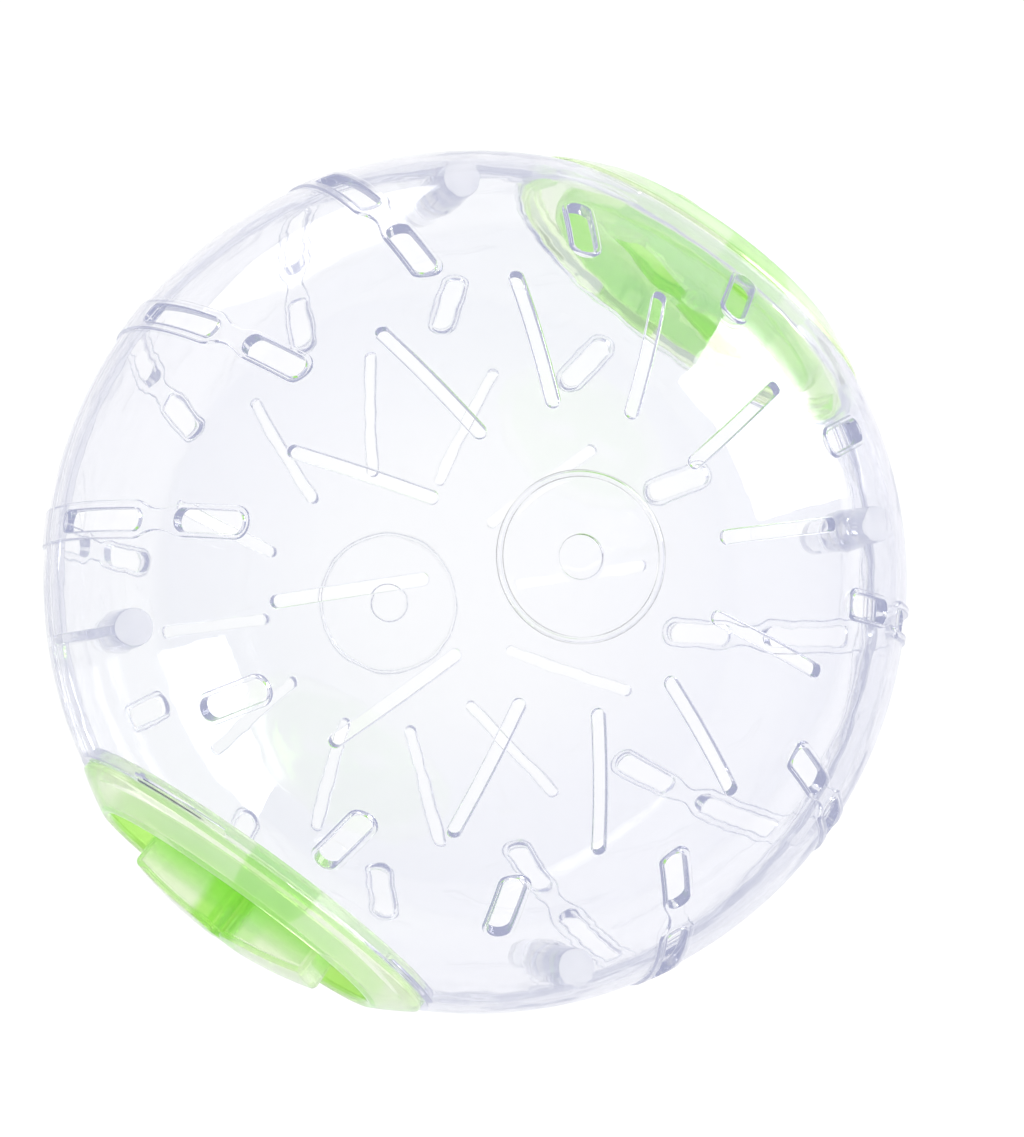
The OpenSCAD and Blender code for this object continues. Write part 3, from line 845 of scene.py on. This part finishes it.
def green_plastic():
    m, nt, out = nodes_of("green_plastic")
    p = nt.nodes.new("ShaderNodeBsdfPrincipled")
    p.inputs["Transmission Weight"].default_value = 0.8
    p.inputs["IOR"].default_value = 1.49
    co = nt.nodes.new("ShaderNodeTexCoord")
    cloud = nt.nodes.new("ShaderNodeTexNoise")
    cloud.inputs["Scale"].default_value = 45.0
    cloud.inputs["Detail"].default_value = 3.0
    nt.links.new(co.outputs["Object"], cloud.inputs["Vector"])
    # painted shade and light, not a dye change: deep green down in the recess, the web and the lugs, pale towards the
    # edge and the top of the grip
    sep = nt.nodes.new("ShaderNodeSeparateXYZ")
    nt.links.new(co.outputs["Object"], sep.inputs[0])
    height = calc(nt, "ABSOLUTE", sep.outputs["X"])
    across = calc(nt, "MULTIPLY", sep.outputs["Y"], calc(nt, "SIGN", sep.outputs["X"]))
    up = sep.outputs["Z"]
    r = calc(nt, "SQRT", calc(nt, "ADD", calc(nt, "MULTIPLY", across, across), calc(nt, "MULTIPLY", up, up)))
    turn = math.radians(GRIP_TURN)
    along = calc(nt, "ABSOLUTE", calc(nt, "ADD", calc(nt, "MULTIPLY", across, math.cos(turn)), calc(nt, "MULTIPLY", up, math.sin(turn))))
    angle = calc(nt, "MULTIPLY", calc(nt, "ARCTAN2", across, up), 180 / math.pi)
    from_lug = calc(nt, "ABSOLUTE", calc(nt, "SUBTRACT", calc(nt, "FLOORED_MODULO", calc(nt, "ADD", angle, 45 + 3.5), 90.0), 45.0))
    band = eased(nt, r, 0.0365, 0.046, 0.75, 1.0)
    band = calc(nt, "MULTIPLY", band, eased(nt, from_lug, 10.5, 12.0, 0.55, 1.0))
    inner = eased(nt, height, 0.087, 0.099, 0.12, 0.95)
    inner = calc(nt, "MULTIPLY", inner, eased(nt, along, 0.0045, 0.0075, 0.15, 1.0))
    inner = calc(nt, "MULTIPLY", inner, eased(nt, r, 0.030, 0.034, 1.0, 0.1))
    is_band = calc(nt, "GREATER_THAN", r, 0.0362)
    pale = calc(nt, "ADD", calc(nt, "MULTIPLY", is_band, band), calc(nt, "MULTIPLY", calc(nt, "SUBTRACT", 1.0, is_band), inner))
    pale = calc(nt, "ADD", pale, calc(nt, "MULTIPLY", calc(nt, "SUBTRACT", cloud.outputs["Fac"], 0.5), 0.25))
    ramp = nt.nodes.new("ShaderNodeValToRGB")
    ramp.color_ramp.elements[0].position = 0.0
    ramp.color_ramp.elements[0].color = (0.43, 0.84, 0.13, 1)
    ramp.color_ramp.elements[1].position = 1.0
    ramp.color_ramp.elements[1].color = (0.97, 0.985, 0.91, 1)
    nt.links.new(pale, ramp.inputs["Fac"])
    nt.links.new(ramp.outputs["Color"], p.inputs["Base Color"])
    rough = nt.nodes.new("ShaderNodeMapRange")
    rough.inputs["To Min"].default_value = 0.06
    rough.inputs["To Max"].default_value = 0.16
    nt.links.new(cloud.outputs["Fac"], rough.inputs["Value"])
    nt.links.new(rough.outputs["Result"], p.inputs["Roughness"])
    wave = nt.nodes.new("ShaderNodeTexNoise")
    wave.inputs["Scale"].default_value = 60.0
    wave.inputs["Detail"].default_value = 2.0
    nt.links.new(co.outputs["Object"], wave.inputs["Vector"])
    bump = nt.nodes.new("ShaderNodeBump")
    bump.inputs["Strength"].default_value = 0.3
    bump.inputs["Distance"].default_value = 0.0004
    nt.links.new(wave.outputs["Fac"], bump.inputs["Height"])
    nt.links.new(bump.outputs["Normal"], p.inputs["Normal"])
    see_through(nt, out, p.outputs[0], (0.97, 0.99, 0.95), (50.0, 27.0, 90.0), (0.25, 0.69, 0.09), 9.5)
    return m


clear_m = clear_plastic()
green_m = green_plastic()
for ob in (upper, lower):
    ob.data.materials.clear()
    ob.data.materials.append(clear_m)
for ob in (right, left):
    ob.data.materials.clear()
    ob.data.materials.append(green_m)

# --------------------------------------------------------- floor and lights
bm = bmesh.new()
bmesh.ops.create_grid(bm, x_segments=24, y_segments=24, size=4.0)
me = bpy.data.meshes.new("floor")
bm.to_mesh(me)
bm.free()
floor = bpy.data.objects.new("floor", me)
floor.location = (0, 0, -POLE_Z * MM - 0.00005)
bpy.context.scene.collection.objects.link(floor)
fm, fnt, fout = nodes_of("pale_floor")
fp = fnt.nodes.new("ShaderNodeBsdfPrincipled")
fp.inputs["Roughness"].default_value = 0.9
fp.inputs["Specular IOR Level"].default_value = 0.1
fn_ = fnt.nodes.new("ShaderNodeTexNoise")
fn_.inputs["Scale"].default_value = 3.0
fc = fnt.nodes.new("ShaderNodeTexCoord")
fnt.links.new(fc.outputs["Object"], fn_.inputs["Vector"])
fr = fnt.nodes.new("ShaderNodeValToRGB")
fr.color_ramp.elements[0].color = (0.93, 0.93, 0.935, 1)
fr.color_ramp.elements[1].color = (0.95, 0.95, 0.952, 1)
fnt.links.new(fn_.outputs["Fac"], fr.inputs["Fac"])
# painted shade: what the plastic bends or mirrors of the floor is painted darker and lavender away from the ball,
# though the camera sees the floor evenly pale
fsep = fnt.nodes.new("ShaderNodeSeparateXYZ")
fnt.links.new(fc.outputs["Object"], fsep.inputs[0])
fx = calc(fnt, "SUBTRACT", fsep.outputs["X"], -0.027)
fy = calc(fnt, "SUBTRACT", fsep.outputs["Y"], -0.006)
fdist = calc(fnt, "SQRT", calc(fnt, "ADD", calc(fnt, "MULTIPLY", fx, fx), calc(fnt, "MULTIPLY", fy, fy)))
ffade = fnt.nodes.new("ShaderNodeMapRange")
ffade.inputs["From Min"].default_value = 0.03
ffade.inputs["From Max"].default_value = 0.16
fnt.links.new(fdist, ffade.inputs["Value"])
fpath = fnt.nodes.new("ShaderNodeLightPath")
fbent = calc(fnt, "MAXIMUM", fpath.outputs["Is Transmission Ray"], fpath.outputs["Is Glossy Ray"])
ftint = fnt.nodes.new("ShaderNodeValToRGB")
ftint.color_ramp.elements[0].color = (1, 1, 1, 1)
ftint.color_ramp.elements[1].color = (0.86, 0.865, 0.91, 1)
for at, c in ((0.3, (0.972, 0.972, 0.981, 1)), (0.6, (0.945, 0.945, 0.965, 1))):
    ftint.color_ramp.elements.new(at).color = c
fnt.links.new(calc(fnt, "MULTIPLY", fbent, ffade.outputs["Result"]), ftint.inputs["Fac"])
fmix = fnt.nodes.new("ShaderNodeMix")
fmix.data_type = "RGBA"
fmix.blend_type = "MULTIPLY"
fmix.inputs["Factor"].default_value = 1.0
fnt.links.new(fr.outputs["Color"], fmix.inputs["A"])
fnt.links.new(ftint.outputs["Color"], fmix.inputs["B"])
fnt.links.new(fmix.outputs["Result"], fp.inputs["Base Color"])
# far away the floor opens into the studio's white, so level views show no horizon band
fopen = calc(fnt, "MULTIPLY", calc(fnt, "SUBTRACT", 1.0, fpath.outputs["Is Diffuse Ray"]), eased(fnt, fdist, 0.5, 1.0, 0.0, 1.0))
fclear = fnt.nodes.new("ShaderNodeBsdfTransparent")
fshow = fnt.nodes.new("ShaderNodeMixShader")
fnt.links.new(fopen, fshow.inputs[0])
fnt.links.new(fp.outputs[0], fshow.inputs[1])
fnt.links.new(fclear.outputs[0], fshow.inputs[2])
fnt.links.new(fshow.outputs[0], fout.inputs["Surface"])
me.materials.append(fm)

world = bpy.data.worlds.new("studio")
bpy.context.scene.world = world
world.use_nodes = True
wnt = world.node_tree
wnt.nodes.clear()
wout = wnt.nodes.new("ShaderNodeOutputWorld")
bg_seen = wnt.nodes.new("ShaderNodeBackground")
bg_seen.inputs["Color"].default_value = (1, 1, 1, 1)
bg_seen.inputs["Strength"].default_value = 1.0
bg_lit = wnt.nodes.new("ShaderNodeBackground")
wco = wnt.nodes.new("ShaderNodeTexCoord")
wsep = wnt.nodes.new("ShaderNodeSeparateXYZ")
wnt.links.new(wco.outputs["Generated"], wsep.inputs[0])
wtop = eased(wnt, wsep.outputs["Z"], 0.45, 0.85, 0.0, 1.0)
wtint = wnt.nodes.new("ShaderNodeMix")
wtint.data_type = "RGBA"
wnt.links.new(wtop, wtint.inputs["Factor"])
wtint.inputs["A"].default_value = (0.56, 0.58, 0.73, 1)
wtint.inputs["B"].default_value = (0.78, 0.78, 0.79, 1)
wnt.links.new(wtint.outputs["Result"], bg_lit.inputs["Color"])
bg_lit.inputs["Strength"].default_value = 1.0
bg_even = wnt.nodes.new("ShaderNodeBackground")
bg_even.inputs["Color"].default_value = (1.0, 0.995, 0.985, 1)
bg_even.inputs["Strength"].default_value = 0.5
wpath = wnt.nodes.new("ShaderNodeLightPath")
# the plastic mirrors a lavender studio, and the floor and lids are lit by an even white one
wspec = wnt.nodes.new("ShaderNodeMath")
wspec.operation = "MAXIMUM"
wnt.links.new(wpath.outputs["Is Glossy Ray"], wspec.inputs[0])
wnt.links.new(wpath.outputs["Is Transmission Ray"], wspec.inputs[1])
wlit = wnt.nodes.new("ShaderNodeMixShader")
wnt.links.new(wspec.outputs[0], wlit.inputs[0])
wnt.links.new(bg_even.outputs[0], wlit.inputs[1])
wnt.links.new(bg_lit.outputs[0], wlit.inputs[2])
wmix = wnt.nodes.new("ShaderNodeMixShader")
wnt.links.new(wpath.outputs["Is Camera Ray"], wmix.inputs[0])
wnt.links.new(wlit.outputs[0], wmix.inputs[1])
wnt.links.new(bg_seen.outputs[0], wmix.inputs[2])
wnt.links.new(wmix.outputs[0], wout.inputs["Surface"])


def softbox(name, towards, distance, width, height, radiance, colour=(1, 1, 1)):
    """An area lamp in a direction from the ball, facing it. radiance is its brightness where it is reflected."""
    light = bpy.data.lights.new(name, "AREA")
    light.shape = "RECTANGLE"
    light.size, light.size_y = width, height
    light.energy = radiance * math.pi * width * height
    light.color = colour
    ob = bpy.data.objects.new(name, light)
    d = Vector(towards).normalized()
    ob.location = d * distance
    ob.rotation_mode = "QUATERNION"
    ob.rotation_quaternion = d.to_track_quat("Z", "Y")
    ob.visible_camera = False
    bpy.context.scene.collection.objects.link(ob)
    return ob


def heading(az, el):
    a, e = math.radians(az), math.radians(el)
    return (math.cos(a) * math.cos(e), math.sin(a) * math.cos(e), math.sin(e))


# a broad soft lamp overhead lights the floor and the lids; the clear walls mirror only the side softbox
over = softbox("overhead_light", (0.15, 0.1, 1.0), 2.6, 3.0, 3.0, 1.95)
over.visible_glossy = False
over.visible_transmission = False
softbox("side_softbox", heading(156, 5), 1.6, 0.95, 1.15, 6.0)
# a dim card lying beside the ball gives the pale arcs at its upper left
card_at = Vector((-0.228, -0.366, -0.0975))
card = softbox("bounce_card", card_at, card_at.length, 0.2, 0.34, 1.5)
card.rotation_quaternion = (Matrix.Rotation(math.radians(-32), 3, "Z") @ Matrix.Rotation(math.pi, 3, "X")).to_quaternion()

# ------------------------------------------------------------------- camera
right_v = Vector((-0.57990, 0.78230, 0.22752)).normalized()
up_v = Vector((-0.79450, -0.60480, 0.05444))
up_v = (up_v - up_v.dot(right_v) * right_v).normalized()
back_v = right_v.cross(up_v)
cam_data = bpy.data.cameras.new("camera")
cam = bpy.data.objects.new("camera", cam_data)
bpy.context.scene.collection.objects.link(cam)
cam.matrix_world = Matrix(
    (
        (right_v.x, up_v.x, back_v.x, back_v.x * 1.01714),
        (right_v.y, up_v.y, back_v.y, back_v.y * 1.01714),
        (right_v.z, up_v.z, back_v.z, back_v.z * 1.01714),
        (0, 0, 0, 1),
    )
)
cam_data.sensor_width = 36.0
cam_data.lens = 4372.0 / 1137.0 * 36.0
cam_data.shift_x = 36.8 / 1137.0
cam_data.shift_y = 13.54 / 1137.0
cam_data.clip_start, cam_data.clip_end = 0.01, 50
bpy.context.scene.camera = cam

sc = bpy.context.scene
sc.view_settings.view_transform = "Standard"
sc.cycles.max_bounces = 32
sc.cycles.transmission_bounces = 32
sc.cycles.glossy_bounces = 12
sc.cycles.transparent_max_bounces = 32
sc.cycles.blur_glossy = 0.2
sc.cycles.sample_clamp_indirect = 10.0
